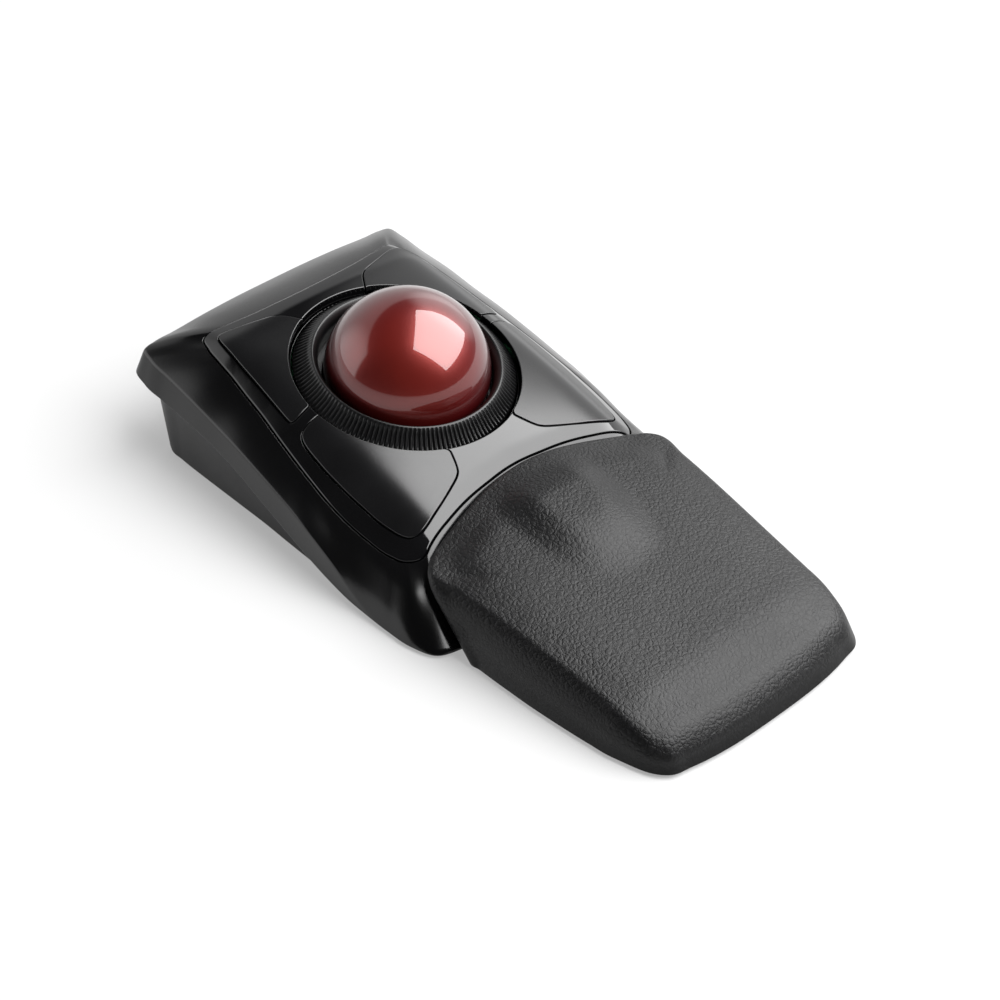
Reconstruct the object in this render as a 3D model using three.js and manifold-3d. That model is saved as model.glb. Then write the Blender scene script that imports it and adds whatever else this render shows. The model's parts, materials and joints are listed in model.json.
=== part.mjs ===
// Cordless trackball mouse: a domed deck with four keys round a scroll ring and a 55 mm ball,
// a two-part housing, and a padded wrist rest that slides off the front.
// Millimetres. X right, Y to the rear, Z up, the feet stand on z = 0.
import * as THREE from 'three';
import { mergeVertices } from 'three/addons/utils/BufferGeometryUtils.js';
import Module from 'manifold-3d';

const wasm = await Module();
wasm.setup();

// ---- driving dimensions -------------------------------------------------------------------
const BALL_Y = 47.25;          // ball centre, behind the middle of the whole length
const BALL_R = 27.5;
const BALL_Z = 37.8;
const TILT = 9.6 * Math.PI / 180;   // deck and ring lean up towards the rear

const DECK_Z = 39.9;           // deck height over the ball centre if it had no hole
const DECK_SLOPE = 0.169;
const DECK_BOW_Y = 0.0008;
const DECK_BOW_X = 0.001;
const FOLD_X = 41;           // the deck turns down outside this line
const FOLD_SLOPE = 0.58;
const REAR_DROP = 0.012;       // extra fall behind the ring, where the deck rounds over
const REAR_Y = 38;
const PANEL_T = 2.2;
const KEY_T = 2.0;
const RING_HOLE_R = 38.3;
const GAP = 0.4;

const RING_Y = 0.8;            // the ring sits this far behind the ball centre
const RING_OUT_R = 37;
const RING_IN_R = 28.8;
const CUP_IN_R = 28.1;
const CUP_OUT_R = 30.6;
const FLANGE_R = 33.2;

const BOTTOM_Z = 1.0;          // underside of the housing above the table
const FLOOR_Z = 3.6;           // inside of the housing floor
const FOOT_R = 5;
const FOOT_T = 1.3;

const CELL_R = 7.1;
const CELL_L = 49;
const CELL_Y = -45;
const CELL_Z = 10;

const SWITCH_AT = { x: 42, y: 24 };   // under each key, mirrored all four ways
const BOARD_T = 1.6;
const SIDE_BOARD_W = -15;      // height of the switch boards along the ring axis
const SENSOR_DOWN = 35 * Math.PI / 180;

const MAIN_BOARD = { x: 44, y0: 38, y1: 54, z: 12 };
const DOOR = { x: 54.5, y0: -56, y1: -33.6, t: 1.3, travel: 7.5 };
const TAB = { x: 28, w: 10, z0: 4.3, z1: 5.8, y0: -90, y1: -71 };

const RUBBER_FEET = [[46, 42], [44, -70]];
const REST_FEET = [[40, -97], [34, -148]];
const HOUSING_SCREWS = [[34, 50], [50, -22]];

// ---- outlines, left half from the rear centre round to the front centre -------------------
// deck edge [x, y]
const PANEL_EDGE = [
  [0, 48.3], [-10.9, 48.6], [-22.8, 49.6], [-32.4, 51.4], [-38.3, 52.8], [-41.6, 53.1],
  [-43.6, 48.7], [-45, 41.6], [-46, 33.6], [-47.2, 25.7], [-48.5, 15.8], [-50.1, 5.9],
  [-51.5, -4], [-52.7, -13.9], [-53.5, -22.8], [-53.7, -31.8], [-53.3, -39.9], [-52.1, -49],
  [-49.8, -54.8], [-45.9, -57.8], [-42.4, -56.9], [-33.3, -54.5], [-23.2, -52.1], [-12, -50.6],
  [0, -49.7],
];
// crease where the top slope turns into the skirt [x, y, z]
const CREASE = [
  [0, 70.3, 36.1], [-15, 70.2, 36.1], [-30, 69.7, 35.9], [-43.3, 69.5, 35],
  [-50.2, 69.5, 34.7], [-54.6, 68.9, 34.1], [-56, 64, 33], [-56.5, 54.7, 31.7],
  [-57.6, 41.1, 30.2], [-58.3, 28.6, 28.1], [-59.3, 15.9, 26.1], [-60.2, 3.2, 23.4],
  [-61, -9.5, 20.4], [-62.1, -22.2, 16.8], [-62.7, -33.2, 12.3], [-62.9, -42.6, 7.1],
  [-62.9, -50.6, 3.6], [-62.6, -60, 2.4], [-61.8, -70, 2.4], [-58.4, -78, 2.4],
  [-51.3, -80.9, 2.4], [-38, -80.6, 2.4], [-26, -80.6, 2.4], [-13, -80.6, 2.4],
  [0, -80.6, 2.4],
];
// lower edge of the skirt [x, y, z]
const SKIRT = [
  [0, 71.5, 28.7], [-15, 71.4, 28.6], [-31, 71.2, 28.4], [-45.6, 71.2, 27.5],
  [-53.4, 71.4, 27], [-57.9, 69.8, 25.8], [-59.4, 63.4, 24.6], [-59.5, 54.6, 23.5],
  [-59.8, 40.6, 22.2], [-60.2, 27.8, 20.6], [-60.7, 15.3, 17.9], [-61.4, 2.9, 14.2],
  [-62, -9.4, 10.5], [-62.5, -21.5, 6.8], [-62.8, -32.3, 3.9], [-62.9, -42, 1.9],
  [-63, -50.4, 1.4], [-62.9, -60, 1], [-62.2, -70.3, 1], [-58.8, -78.6, 1], [-51.3, -81.3, 1],
  [-38, -81, 1], [-26, -81, 1], [-13, -81, 1], [0, -81, 1],
];
// top of the lower housing's wall, tucked inside the skirt [x, y]
const WALL_TOP = [
  [0, 63.8], [-15, 63.8], [-30, 63.7], [-42.7, 63.6], [-51, 63.4], [-55.6, 61.8],
  [-57.4, 57.6], [-57.7, 49], [-57.8, 38], [-58, 28], [-58.2, 16], [-58.4, 4], [-58.8, -8],
  [-59.2, -20], [-59.5, -31], [-59.7, -41], [-59.6, -50], [-59, -59], [-57.8, -68],
  [-54.4, -74.6], [-49, -76.5], [-38, -76.5], [-26, -76.5], [-13, -76.5], [0, -76.5],
];
// lower edge of the lower housing's wall [x, y]; it hides inside the skirt towards the front
const WALL_FOOT = [
  [0, 59.6], [-15, 59.5], [-30, 59.3], [-42.4, 59.1], [-50, 58.6], [-54.2, 57.3],
  [-56.8, 53.6], [-57.5, 47], [-57.8, 38], [-57.9, 28], [-58, 16], [-58.1, 4], [-58.6, -8],
  [-59, -20], [-59.4, -31], ...WALL_TOP.slice(15),
];
// wrist rest: the edge round the cushion's top, and its foot [x, y, z]
const REST_TOP = [
  [0, -51.4, 29.9], [-12, -52.3, 29.3], [-24, -54.5, 27.7], [-34, -57, 25.8],
  [-43, -59.6, 24.2], [-49.6, -61.6, 23.3], [-52.9, -65.2, 23], [-52.4, -75, 23.2],
  [-51.3, -85, 22.7], [-50.3, -95, 21.6], [-49.2, -105, 20.1], [-48.2, -115, 18.5],
  [-47.3, -125, 16.9], [-46.4, -135, 15.3], [-45.3, -146.4, 13], [-43.2, -152.4, 11.8],
  [-39.2, -155.8, 11.3], [-33, -156.6, 11.3], [0, -157.8, 11.3],
];
const REST_FOOT = [
  [0, -82.6], [-13, -82.6], [-26, -82.7], [-36, -82.8], [-45, -83], [-50.6, -83.6],
  [-53.3, -87], [-53.4, -92], [-53.4, -98], [-53.3, -104], [-53.1, -112], [-52.7, -119],
  [-52.1, -127], [-51.2, -136], [-49.6, -146.4], [-46.4, -156.6], [-42.2, -161.5],
  [-35.6, -163.2], [0, -166],
];

function deckZ(x, y) {
  const inner = Math.min(Math.abs(x), FOLD_X);
  const outer = Math.abs(x) - inner;
  const across = DECK_BOW_X * inner * inner + (2 * DECK_BOW_X * FOLD_X + FOLD_SLOPE) * outer;
  const rear = REAR_DROP * Math.max(y - REAR_Y, 0) ** 2;
  return DECK_Z + DECK_SLOPE * y - DECK_BOW_Y * y * y - across - rear;
}

// ---- shape helpers ------------------------------------------------------------------------
const group = new THREE.Group();
group.name = 'trackball_mouse';

function mirrorLoop(half) {
  const other = half.slice(1, -1).reverse().map(([x, ...rest]) => [-x, ...rest]);
  return halved([...half, ...other]);
}

// puts a point on a smooth curve between each two neighbours of a closed loop
function halved(loop) {
  const n = loop.length;
  return loop.flatMap((p, i) => {
    const [a, b, c] = [loop[(i + n - 1) % n], loop[(i + 1) % n], loop[(i + 2) % n]];
    return [p, p.map((v, k) => 0.5625 * (v + b[k]) - 0.0625 * (a[k] + c[k]))];
  });
}

// moves every point of a closed plan loop outwards by its own distance
function grow(loop, distance) {
  const n = loop.length;
  return loop.map((p, i) => {
    const a = loop[(i + n - 1) % n];
    const b = loop[(i + 1) % n];
    const tx = b[0] - a[0];
    const ty = b[1] - a[1];
    const len = Math.hypot(tx, ty);
    const d = typeof distance === 'number' ? distance : distance[i];
    return [p[0] + d * ty / len, p[1] - d * tx / len, ...p.slice(2)];
  });
}

// the loops run anticlockwise seen from above when built from mirrorLoop(left half)
function withZ(loop, z) {
  return loop.map((p, i) => [p[0], p[1], typeof z === 'function' ? z(p[0], p[1], i) : z]);
}

function between(a, b, t, lift = 0) {
  return a.map((p, i) => [
    p[0] + (b[i][0] - p[0]) * t,
    p[1] + (b[i][1] - p[1]) * t,
    p[2] + (b[i][2] - p[2]) * t + (typeof lift === 'number' ? lift : lift[i]),
  ]);
}

// skin over a stack of loops: round again to the first loop (a frame), or closed by two caps
function skin(loops, { frame = false, first = null, last = null } = {}) {
  const n = loops[0].length;
  const points = loops.flat();
  const faces = [];
  const bands = frame ? loops.length : loops.length - 1;
  for (let k = 0; k < bands; k += 1) {
    const k2 = (k + 1) % loops.length;
    for (let i = 0; i < n; i += 1) {
      const j = (i + 1) % n;
      faces.push([k * n + i, k * n + j, k2 * n + j], [k * n + i, k2 * n + j, k2 * n + i]);
    }
  }
  if (!frame) {
    const a = points.push(first) - 1;
    const b = points.push(last) - 1;
    const top = (loops.length - 1) * n;
    for (let i = 0; i < n; i += 1) {
      const j = (i + 1) % n;
      faces.push([a, j, i], [b, top + i, top + j]);
    }
  }
  const geometry = new THREE.BufferGeometry();
  geometry.setAttribute('position', new THREE.Float32BufferAttribute(points.flat(), 3));
  geometry.setIndex(faces.flat());
  return geometry;
}

function toSolid(geometry) {
  const bare = new THREE.BufferGeometry();
  bare.setAttribute('position', geometry.getAttribute('position').clone());
  if (geometry.index) bare.setIndex(geometry.index.clone());
  const merged = mergeVertices(bare, 1e-4);
  const index = merged.index.array;
  const kept = [];
  for (let i = 0; i < index.length; i += 3) {
    const [a, b, c] = [index[i], index[i + 1], index[i + 2]];
    if (a !== b && b !== c && c !== a) kept.push(a, b, c);
  }
  const position = merged.getAttribute('position').array;
  const solid = new wasm.Manifold(new wasm.Mesh({
    numProp: 3,
    vertProperties: new Float32Array(position),
    triVerts: new Uint32Array(kept),
  }));
  if (solid.volume() > 0) return solid;
  for (let i = 0; i < kept.length; i += 3) {
    const held = kept[i];
    kept[i] = kept[i + 1];
    kept[i + 1] = held;
  }
  return new wasm.Manifold(new wasm.Mesh({
    numProp: 3,
    vertProperties: new Float32Array(position),
    triVerts: new Uint32Array(kept),
  }));
}

function add(name, solid, color, roughness = 0.5, metalness = 0) {
  const mesh = solid.getMesh();
  const geometry = new THREE.BufferGeometry();
  const moved = new Float32Array(mesh.vertProperties);
  for (let i = 1; i < moved.length; i += 3) moved[i] += BALL_Y;
  geometry.setAttribute('position', new THREE.BufferAttribute(moved, 3));
  geometry.setIndex(new THREE.BufferAttribute(new Uint32Array(mesh.triVerts), 1));
  geometry.computeVertexNormals();
  const material = new THREE.MeshStandardMaterial({ color, roughness, metalness });
  const part = new THREE.Mesh(geometry, material);
  part.name = name;
  group.add(part);
}

function box(x0, x1, y0, y1, z0, z1) {
  const geometry = new THREE.BoxGeometry(x1 - x0, y1 - y0, z1 - z0);
  geometry.translate((x0 + x1) / 2, (y0 + y1) / 2, (z0 + z1) / 2);
  return toSolid(geometry);
}

function post(x, y, r, z0, z1, sides = 14) {
  const geometry = new THREE.CylinderGeometry(r, r, z1 - z0, sides);
  geometry.rotateX(Math.PI / 2);
  geometry.translate(x, y, (z0 + z1) / 2);
  return toSolid(geometry);
}

function prism(outline, z0, z1) {
  const shape = new THREE.Shape(outline.map(([x, y]) => new THREE.Vector2(x, y)));
  const geometry = new THREE.ExtrudeGeometry(shape, { depth: z1 - z0, bevelEnabled: false });
  geometry.translate(0, 0, z0);
  return toSolid(geometry);
}

// revolved about the ring axis, profile as [radius, height above the ball centre]
function turned(profile, sides, shift = 0) {
  const closed = [...profile, profile[0]].map(([r, w]) => new THREE.Vector2(r, w));
  const geometry = new THREE.LatheGeometry(closed, sides);
  geometry.rotateX(Math.PI / 2);
  return toSolid(onRingAxis(geometry, shift));
}

// puts a shape made about the origin into the tilted frame at the ball centre
function onRingAxis(geometry, shift = 0) {
  geometry.rotateX(TILT);
  geometry.translate(0, shift, BALL_Z);
  return geometry;
}

function ringPoint(radius, degrees, w) {
  const a = degrees * Math.PI / 180;
  return new THREE.Vector3(radius * Math.cos(a), radius * Math.sin(a), w)
    .applyAxisAngle(new THREE.Vector3(1, 0, 0), TILT)
    .add(new THREE.Vector3(0, 0, BALL_Z));
}

// height of the plane that lies w above the ball centre along the ring axis
const tiltedZ = (y, w) => BALL_Z + y * Math.tan(TILT) + w / Math.cos(TILT);

// slab that follows the deck's dome, from `low` to `high` above it
function deckSlab(low, high) {
  const nx = 16;
  const ny = 14;
  const geometry = new THREE.BoxGeometry(2, 2, 1, nx, ny, 1);
  const position = geometry.getAttribute('position');
  for (let i = 0; i < position.count; i += 1) {
    const x = position.getX(i) * FOLD_X * 1.5;
    const y = position.getY(i) * 61 - 5;
    position.setXYZ(i, x, y, deckZ(x, y) + (position.getZ(i) > 0 ? high : low));
  }
  return toSolid(geometry);
}

const mirrored = (outline) => outline.map(([x, y]) => [-x, y]).reverse();

// ---- top cover ----------------------------------------------------------------------------
const panelLoop = mirrorLoop(PANEL_EDGE);
const creaseLoop = mirrorLoop(CREASE);
const skirtLoop = mirrorLoop(SKIRT);
const wallTopLoop = mirrorLoop(WALL_TOP);
const wallFootLoop = mirrorLoop(WALL_FOOT);

const holeLoop = grow(panelLoop, GAP);
const wallTopZ = skirtLoop.map(([, , z]) => Math.max(z + 1.6, FLOOR_Z + 0.4));
const skirtInner = grow(wallTopLoop, GAP);
const bulge = skirtLoop.map(([, y]) => (y > 65 ? 0.8 : 0.3));
const coverLip = withZ(holeLoop, (x, y) => deckZ(x, y) - 1.2);
const coverUnder = withZ(holeLoop, (x, y) => deckZ(x, y) - 3.6);
const coverTurn = withZ(skirtInner, (x, y, i) => Math.max(creaseLoop[i][2] - 2.6, wallTopZ[i] + 0.5));
const smooth = THREE.MathUtils.smoothstep;
const mix = THREE.MathUtils.lerp;
const coverPull = coverLip.map(([x, y, z], i) => {
  const [cx, cy, cz] = creaseLoop[i];
  const full = smooth(-cy, 18, 42) * smooth(Math.abs(cx), 52, 58) * smooth(cy, -79, -69) * 0.3;
  return [mix((x + cx) / 2, cx, full), mix((y + cy) / 2, cy, full),
    mix((z + cz) / 2 + 2 * bulge[i], z, full)];
});
const coverArc = (s) => coverPull.map((pull, i) => pull.map(
  (v, k) => (1 - s) ** 2 * coverLip[i][k] + 2 * s * (1 - s) * v + s * s * creaseLoop[i][k]));
let cover = toSolid(skin([
  coverLip,
  coverArc(0.35),
  coverArc(0.68),
  creaseLoop,
  skirtLoop,
  withZ(skirtInner, (x, y, i) => skirtLoop[i][2]),
  coverTurn,
  coverUnder,
], { frame: true }));
for (const side of [-1, 1]) {
  const mid = side * TAB.x;
  const half = TAB.w / 2 + 0.5;
  cover = cover.subtract(box(mid - half, mid + half, -90, -70, TAB.z0 - 0.3, TAB.z1 + 0.9));
}
add('top_cover', cover, 0x17181a, 0.5);

// ---- lower housing ------------------------------------------------------------------------
let housing = toSolid(skin([
  withZ(wallFootLoop, BOTTOM_Z),
  withZ(wallTopLoop, (x, y, i) => wallTopZ[i]),
  withZ(grow(wallTopLoop, -2), (x, y, i) => wallTopZ[i]),
  withZ(grow(wallFootLoop, -2), FLOOR_Z),
], { first: [0, -5, BOTTOM_Z], last: [0, -5, FLOOR_Z] }));

for (const side of [-1, 1]) {
  for (const y of [30, 0, -30]) {
    const top = tiltedZ(y - 2, SIDE_BOARD_W) - 0.3;
    housing = housing.add(post(side * 43.5, y, 2, FLOOR_Z - 1, top));
  }
  for (const [x, y] of HOUSING_SCREWS) {
    housing = housing.add(post(side * x, y, 3.2, FLOOR_Z - 1, 9.5));
    housing = housing.subtract(post(side * x, y, 1.3, 0, 9));
    housing = housing.subtract(post(side * x, y, 2.4, 0, BOTTOM_Z + 1.6));
  }
  for (const [x, y] of RUBBER_FEET) {
    housing = housing.subtract(post(side * x, y, FOOT_R + 0.3, 0, BOTTOM_Z + 0.5, 20));
  }
}
for (const degrees of [30, 150, 270]) {
  const p = ringPoint(31.8, degrees, -6.9);
  housing = housing.add(post(p.x, p.y, 1.3, FLOOR_Z - 1, p.z - 0.3));
}
for (const x of [-40, 40]) {
  housing = housing.add(post(x, 45, 2, FLOOR_Z - 1, MAIN_BOARD.z - 0.3));
}
housing = housing.subtract(box(-52.6, 52.6, CELL_Y - 8.8, CELL_Y + 8.8, 0, FLOOR_Z + 1));
housing = housing.subtract(box(-DOOR.x - 0.4, DOOR.x + 0.4, DOOR.y0 - DOOR.travel - 0.6,
  DOOR.y1 + 0.4, 0, BOTTOM_Z + DOOR.t + 0.3));
housing = housing.subtract(box(-6, 6, 43.6, 48.4, 0, FLOOR_Z + 1));
housing = housing.subtract(post(18, 46, 3.4, 0, FLOOR_Z + 1, 24));
add('lower_housing', housing, 0x26272a, 0.6);

// ---- deck panel and keys ------------------------------------------------------------------
const FRONT_KEY = [
  [-30, 0.7], [-38, -0.1], [-44.9, 0], [-46.7, -1.4], [-47.7, -5.1], [-48.6, -15],
  [-48.9, -26], [-48.5, -40.3], [-47, -49.2], [-44.8, -52.6], [-40.7, -52.8], [-29, -48.6],
  [-19, -44.2], [-17, -41.6], [-11, -30],
];
const REAR_KEY = [
  [-11, 30], [-13.7, 35.6], [-18.8, 42.9], [-27.5, 45.5], [-37.3, 48.5], [-39.6, 48.4],
  [-40.7, 45.9], [-42.5, 33.5], [-44.2, 18.6], [-45.6, 6.3], [-45.1, 4.9], [-43.6, 4.5],
  [-37.3, 5.1], [-30, 5.9],
];
const deckHole = turned([[0, -30], [RING_HOLE_R, -30], [RING_HOLE_R, 30], [0, 30]], 72, RING_Y);
let panel = deckSlab(-PANEL_T, 0).intersect(prism(panelLoop, 0, 80)).subtract(deckHole);
const keySlab = deckSlab(-KEY_T + 0.2, 0.2);
const keyShapes = [
  ['key_front_left', FRONT_KEY, -1, -1],
  ['key_front_right', mirrored(FRONT_KEY), 1, -1],
  ['key_rear_left', REAR_KEY, -1, 1],
  ['key_rear_right', mirrored(REAR_KEY), 1, 1],
];
const winding = (outline) => Math.sign(THREE.ShapeUtils.area(
  outline.map(([x, y]) => new THREE.Vector2(x, y))));
for (const [name, outline, side, end] of keyShapes) {
  panel = panel.subtract(prism(grow(outline, GAP * winding(outline)), 0, 80));
  const x = side * SWITCH_AT.x;
  const y = end * SWITCH_AT.y;
  const stem = post(x, y, 1.5, tiltedZ(y, -5.9), deckZ(x, y) - 1, 16);
  const cap = keySlab.intersect(prism(outline, 0, 80)).subtract(deckHole);
  add(name, cap.add(stem), 0x101113, 0.25);
}
add('deck_panel', panel, 0x0b0b0c, 0.12);

// ---- scroll ring, ball and socket ---------------------------------------------------------
add('scroll_ring', turned([
  [28.9, -3.6], [36.7, -3.6], [RING_OUT_R, -0.7], [31.6, 4.3], [31, 4.5], [29.6, 3.2],
  [RING_IN_R, 1],
], 60, RING_Y), 0x151515, 0.4);

let encoder = turned([[34.7, -9], [35.9, -9], [35.9, -3.9], [34.7, -3.9]], 48, RING_Y);
const slotPair = new THREE.BoxGeometry(1.2, 80, 3);
for (let i = 0; i < 12; i += 1) {
  const slot = slotPair.clone();
  slot.rotateZ(i * Math.PI / 12);
  slot.translate(0, 0, -7);
  encoder = encoder.subtract(toSolid(onRingAxis(slot, RING_Y)));
}
add('encoder_ring', encoder, 0x303236, 0.5);

const ball = new THREE.SphereGeometry(BALL_R, 40, 20);
ball.rotateX(Math.PI / 2);
add('ball', toSolid(onRingAxis(ball)), 0x7a1216, 0.1);

// cup: sphere inside and out, with a flange under the ring
const cupProfile = [];
const cupSteps = 9;
const rimAngle = Math.asin(-4.6 / CUP_IN_R);
for (let i = 0; i <= cupSteps; i += 1) {
  const a = -Math.PI / 2 + (rimAngle + Math.PI / 2) * i / cupSteps;
  cupProfile.push([i === 0 ? 0 : CUP_IN_R * Math.cos(a), CUP_IN_R * Math.sin(a)]);
}
cupProfile.push([FLANGE_R, -4.6], [FLANGE_R, -6.4]);
const flangeAngle = Math.asin(-6.4 / CUP_OUT_R);
for (let i = cupSteps; i >= 0; i -= 1) {
  const a = -Math.PI / 2 + (flangeAngle + Math.PI / 2) * i / cupSteps;
  cupProfile.push([i === 0 ? 0 : CUP_OUT_R * Math.cos(a), CUP_OUT_R * Math.sin(a)]);
}
const sensorAim = new THREE.Vector3(0, Math.cos(SENSOR_DOWN), -Math.sin(SENSOR_DOWN));
const ballCentre = new THREE.Vector3(0, 0, BALL_Z);

// places a shape so that its z axis runs along `aim` and its middle is `reach` from the ball centre
function aimed(geometry, aim, reach) {
  const turn = new THREE.Quaternion().setFromUnitVectors(new THREE.Vector3(0, 0, 1), aim);
  geometry.applyQuaternion(turn);
  const at = ballCentre.clone().addScaledVector(aim, reach);
  geometry.translate(at.x, at.y, at.z);
  return toSolid(geometry);
}

function rod(radius, length, sides = 20) {
  const geometry = new THREE.CylinderGeometry(radius, radius, length, sides);
  geometry.rotateX(Math.PI / 2);
  return geometry;
}

let cup = turned(cupProfile, 36);
cup = cup.subtract(aimed(rod(3.2, 6), sensorAim, 29.4));
const bearings = [];
for (const degrees of [90, 210, 330]) {
  const aim = ringPoint(20, degrees, -17).sub(ballCentre).normalize();
  cup = cup.subtract(aimed(rod(1.9, 8), aim, 29.4));
  bearings.push(aimed(new THREE.SphereGeometry(1.5, 12, 6), aim, BALL_R + 0.12 + 1.5));
}
add('ball_socket', cup, 0x1b1b1c, 0.5);
bearings.forEach((solid, i) => add(`bearing_ball_${i + 1}`, solid, 0xd8dade, 0.1, 1));

add('sensor_lens', aimed(new THREE.BoxGeometry(12, 12, 1.8), sensorAim, 32.3), 0xa9b4bc, 0.1);
add('sensor_chip', aimed(new THREE.BoxGeometry(9, 10, 2.2), sensorAim, 34.7), 0x141414, 0.4);
add('sensor_board', aimed(new THREE.BoxGeometry(20, 15, BOARD_T), sensorAim, 37), 0x1f5a35, 0.5);

// light fork that straddles the encoder ring
const forkShape = new THREE.Shape([
  [31.4, -11.6], [38.4, -11.6], [38.4, -5], [36.4, -5], [36.4, -9.6], [33.9, -9.6],
  [33.9, -7], [31.4, -7],
].map(([r, w]) => new THREE.Vector2(r, w)));
const fork = new THREE.ExtrudeGeometry(forkShape, { depth: 6, bevelEnabled: false });
fork.translate(0, 0, -3);
fork.rotateX(Math.PI / 2);
fork.rotateZ(Math.PI * 0.36);
add('ring_light_fork', toSolid(onRingAxis(fork, RING_Y)), 0x1a1a1a, 0.4);

// ---- key switches and their boards --------------------------------------------------------
for (const [label, side] of [['left', -1], ['right', 1]]) {
  const board = new THREE.BoxGeometry(9.6, 72, BOARD_T);
  board.translate(side * 43.6, 0, SIDE_BOARD_W + BOARD_T / 2);
  add(`switch_board_${label}`, toSolid(onRingAxis(board)), 0x1f5a35, 0.5);
  for (const [place, y] of [['front', -SWITCH_AT.y], ['rear', SWITCH_AT.y]]) {
    const body = new THREE.BoxGeometry(5.8, 12.8, 5);
    body.translate(side * SWITCH_AT.x, y, SIDE_BOARD_W + BOARD_T + 0.3 + 2.5);
    const nib = rod(1.1, 1.2, 12);
    nib.translate(side * SWITCH_AT.x, y, -8.1 + 0.4);
    const solid = toSolid(onRingAxis(body)).add(toSolid(onRingAxis(nib)));
    add(`key_switch_${place}_${label}`, solid, 0x222326, 0.4);
  }
}

// ---- main board, power slider, connect button ---------------------------------------------
add('main_board', box(-MAIN_BOARD.x, MAIN_BOARD.x, MAIN_BOARD.y0, MAIN_BOARD.y1, MAIN_BOARD.z,
  MAIN_BOARD.z + BOARD_T), 0x1f5a35, 0.5);
const boardTop = MAIN_BOARD.z + BOARD_T + 0.2;
add('controller_chip', box(-24, -14, 41, 51, boardTop, boardTop + 1.4), 0x141414, 0.4);
add('power_switch_body', box(-6.5, 6.5, 42.5, 49.5, 5.2, MAIN_BOARD.z - 0.3), 0x8d9094, 0.3, 0.8);
add('power_slider', box(-5.4, -0.6, 44, 48, BOTTOM_Z + 0.3, 4.8), 0xb03020, 0.5);
add('connect_button', post(18, 46, 3, BOTTOM_Z + 0.6, 6.5, 24), 0x3a3c40, 0.5);

// ---- cells, battery tray and door ---------------------------------------------------------
function lying(radius, x0, x1, sides = 28) {
  const geometry = new THREE.CylinderGeometry(radius, radius, x1 - x0, sides);
  geometry.rotateZ(Math.PI / 2);
  geometry.translate((x0 + x1) / 2, CELL_Y, CELL_Z);
  return toSolid(geometry);
}
const trayBottom = FLOOR_Z + 1.3;
let tray = lying(8.4, -53.4, 53.4).intersect(box(-60, 60, -60, 0, trayBottom, 30));
tray = tray.subtract(lying(7.4, -52.3, 52.3));
tray = tray.subtract(box(-52.3, 52.3, CELL_Y - 7.4, CELL_Y + 7.4, 0, CELL_Z));
for (const side of [-1, 1]) {
  tray = tray.subtract(box(side * 54 - 5, side * 54 + 5, -60, -20, 13.5, 30));
}
add('battery_tray', tray, 0x202124, 0.6);
add('cell_left', lying(CELL_R, -50.2, -50.2 + CELL_L).add(lying(2.7, -2, -0.4, 16)), 0x2e6b3a, 0.3);
add('cell_right', lying(CELL_R, 0.1, 0.1 + CELL_L + 0.4).add(lying(2.7, 49, 50.6, 16)), 0x2e6b3a, 0.3);
add('contact_left', box(-51.2, -50.6, -49, -41, 5, 15), 0xc9ccd0, 0.2, 1);
add('contact_right', box(51, 51.6, -49, -41, 5, 15), 0xc9ccd0, 0.2, 1);
let door = box(-DOOR.x, DOOR.x, DOOR.y0, DOOR.y1, BOTTOM_Z, BOTTOM_Z + DOOR.t);
for (let i = 0; i < 4; i += 1) {
  const y = DOOR.y0 + 3 + i * 2.2;
  door = door.subtract(box(-9, 9, y, y + 0.9, 0, BOTTOM_Z + 0.5));
}
add('battery_door', door, 0x26272a, 0.6);

// ---- wrist rest ---------------------------------------------------------------------------
const restTop = mirrorLoop(REST_TOP);
const restFoot = withZ(mirrorLoop(REST_FOOT), BOTTOM_Z + 0.3);
const REST_MID = [0, -100];
const HUMP = { y: -70, height: 3.8, rx: 15.5, ry: 27 };   // raised tongue behind the middle
const restCrown = (x, y) => {
  const along = THREE.MathUtils.clamp((y + 154) / 103, 0, 1);
  const ridge = 15 + 9.3 * Math.sin(along * Math.PI / 2) + 6 * along * along;
  const side = Math.min(Math.abs(x) / (45.2 + 8 * along), 1.02);
  const fall = (1.2 + 6 * along ** 5) * (x / 52) ** 2 + 2.6 * side ** 7;
  const front = 0.012 * Math.max(-138 - y, 0) ** 2;
  const far = ((Math.abs(x) / HUMP.rx) ** 2.7
    + (Math.max(HUMP.y - y, 0) / HUMP.ry) ** 2.7) ** (1 / 2.7);
  const hump = HUMP.height * (1 - THREE.MathUtils.smoothstep(far, 0.52, 1.42))
    * (1 - 0.75 * THREE.MathUtils.smoothstep(y, -72, -56));
  return ridge - fall - front + hump;
};
const shrink = (k) => restTop.map(([x, y, z]) => {
  const px = REST_MID[0] + (x - REST_MID[0]) * k;
  const py = REST_MID[1] + (y - REST_MID[1]) * k;
  const blend = Math.max(THREE.MathUtils.smoothstep(1 - k, 0, 0.3),
    THREE.MathUtils.smoothstep(-y, 70, 90));
  return [px, py, z * (1 - blend) + restCrown(px, py) * blend];
});
const restSide = between(restFoot, restTop, 0.5, 0).map(([x, y, z]) => {
  const front = y < -150 ? 1 : 0;
  return [x, y - front, z];
});
let cushion = toSolid(skin([
  restFoot,
  restSide,
  between(restFoot, restTop, 0.86, 0),
  shrink(0.97),
  shrink(0.9), shrink(0.8), shrink(0.66), shrink(0.5), shrink(0.34), shrink(0.18),
], { first: [0, -120, BOTTOM_Z + 0.3], last: [0, -100, restCrown(0, -100)] }));
const trayLoop = grow(mirrorLoop(REST_FOOT), -3);
cushion = cushion.subtract(prism(grow(trayLoop, 0.4), 0, BOTTOM_Z + 2.1));
let restTray = prism(trayLoop, BOTTOM_Z, BOTTOM_Z + 1.8);
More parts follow.
